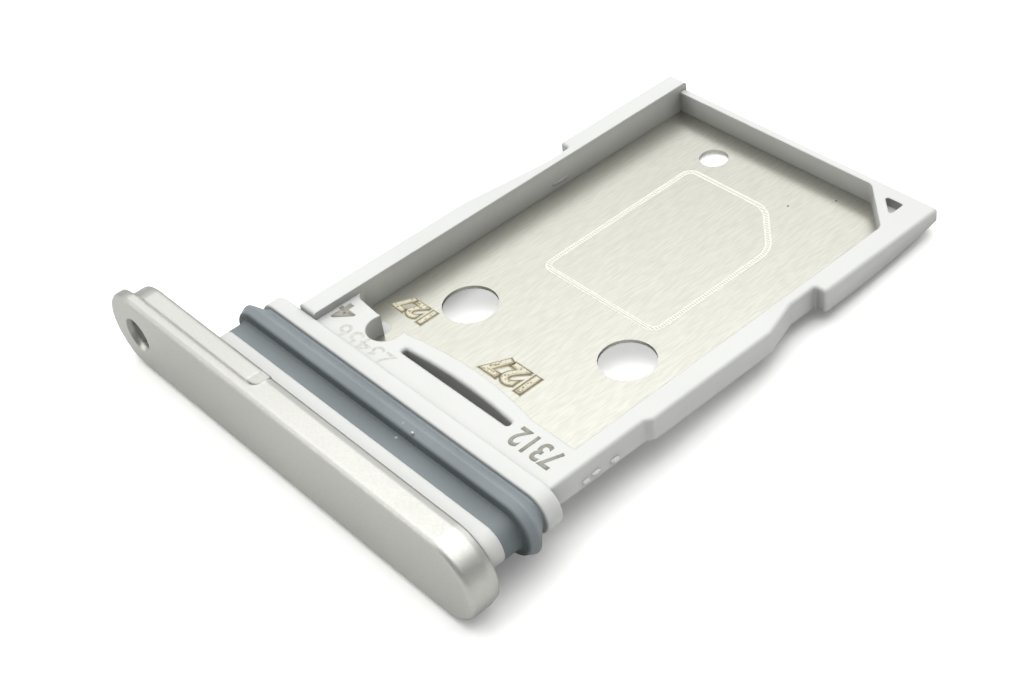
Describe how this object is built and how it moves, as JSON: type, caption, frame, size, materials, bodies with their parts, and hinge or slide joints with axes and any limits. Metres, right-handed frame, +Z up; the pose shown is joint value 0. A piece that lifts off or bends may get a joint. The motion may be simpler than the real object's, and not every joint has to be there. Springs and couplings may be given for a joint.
{
  "type": "sim card tray",
  "caption": "Card tray for a handset: metal end bezel with eject hole, sealing gasket, moulded frame with a spring finger and a sheet steel floor under the card pocket.",
  "frame": {"origin": "middle of the outline seen from above, level with the underside of the head", "axes": "+Y is the way the tray goes into its slot, +Z is up out of the card pocket, +X runs along the head away from the eject hole"},
  "size_m": [0.0159, 0.0176, 0.0026],
  "materials": {
    "head": "fine blasted, anodised",
    "gasket": "satin silicone",
    "tray_frame": "fine moulded texture",
    "floor_plate": "fine brushed"
  },
  "bodies": {
    "root": {"head": "head", "gasket": "gasket", "tray_frame": "tray_frame", "floor_plate": "floor_plate"}
  },
  "joints": []
}
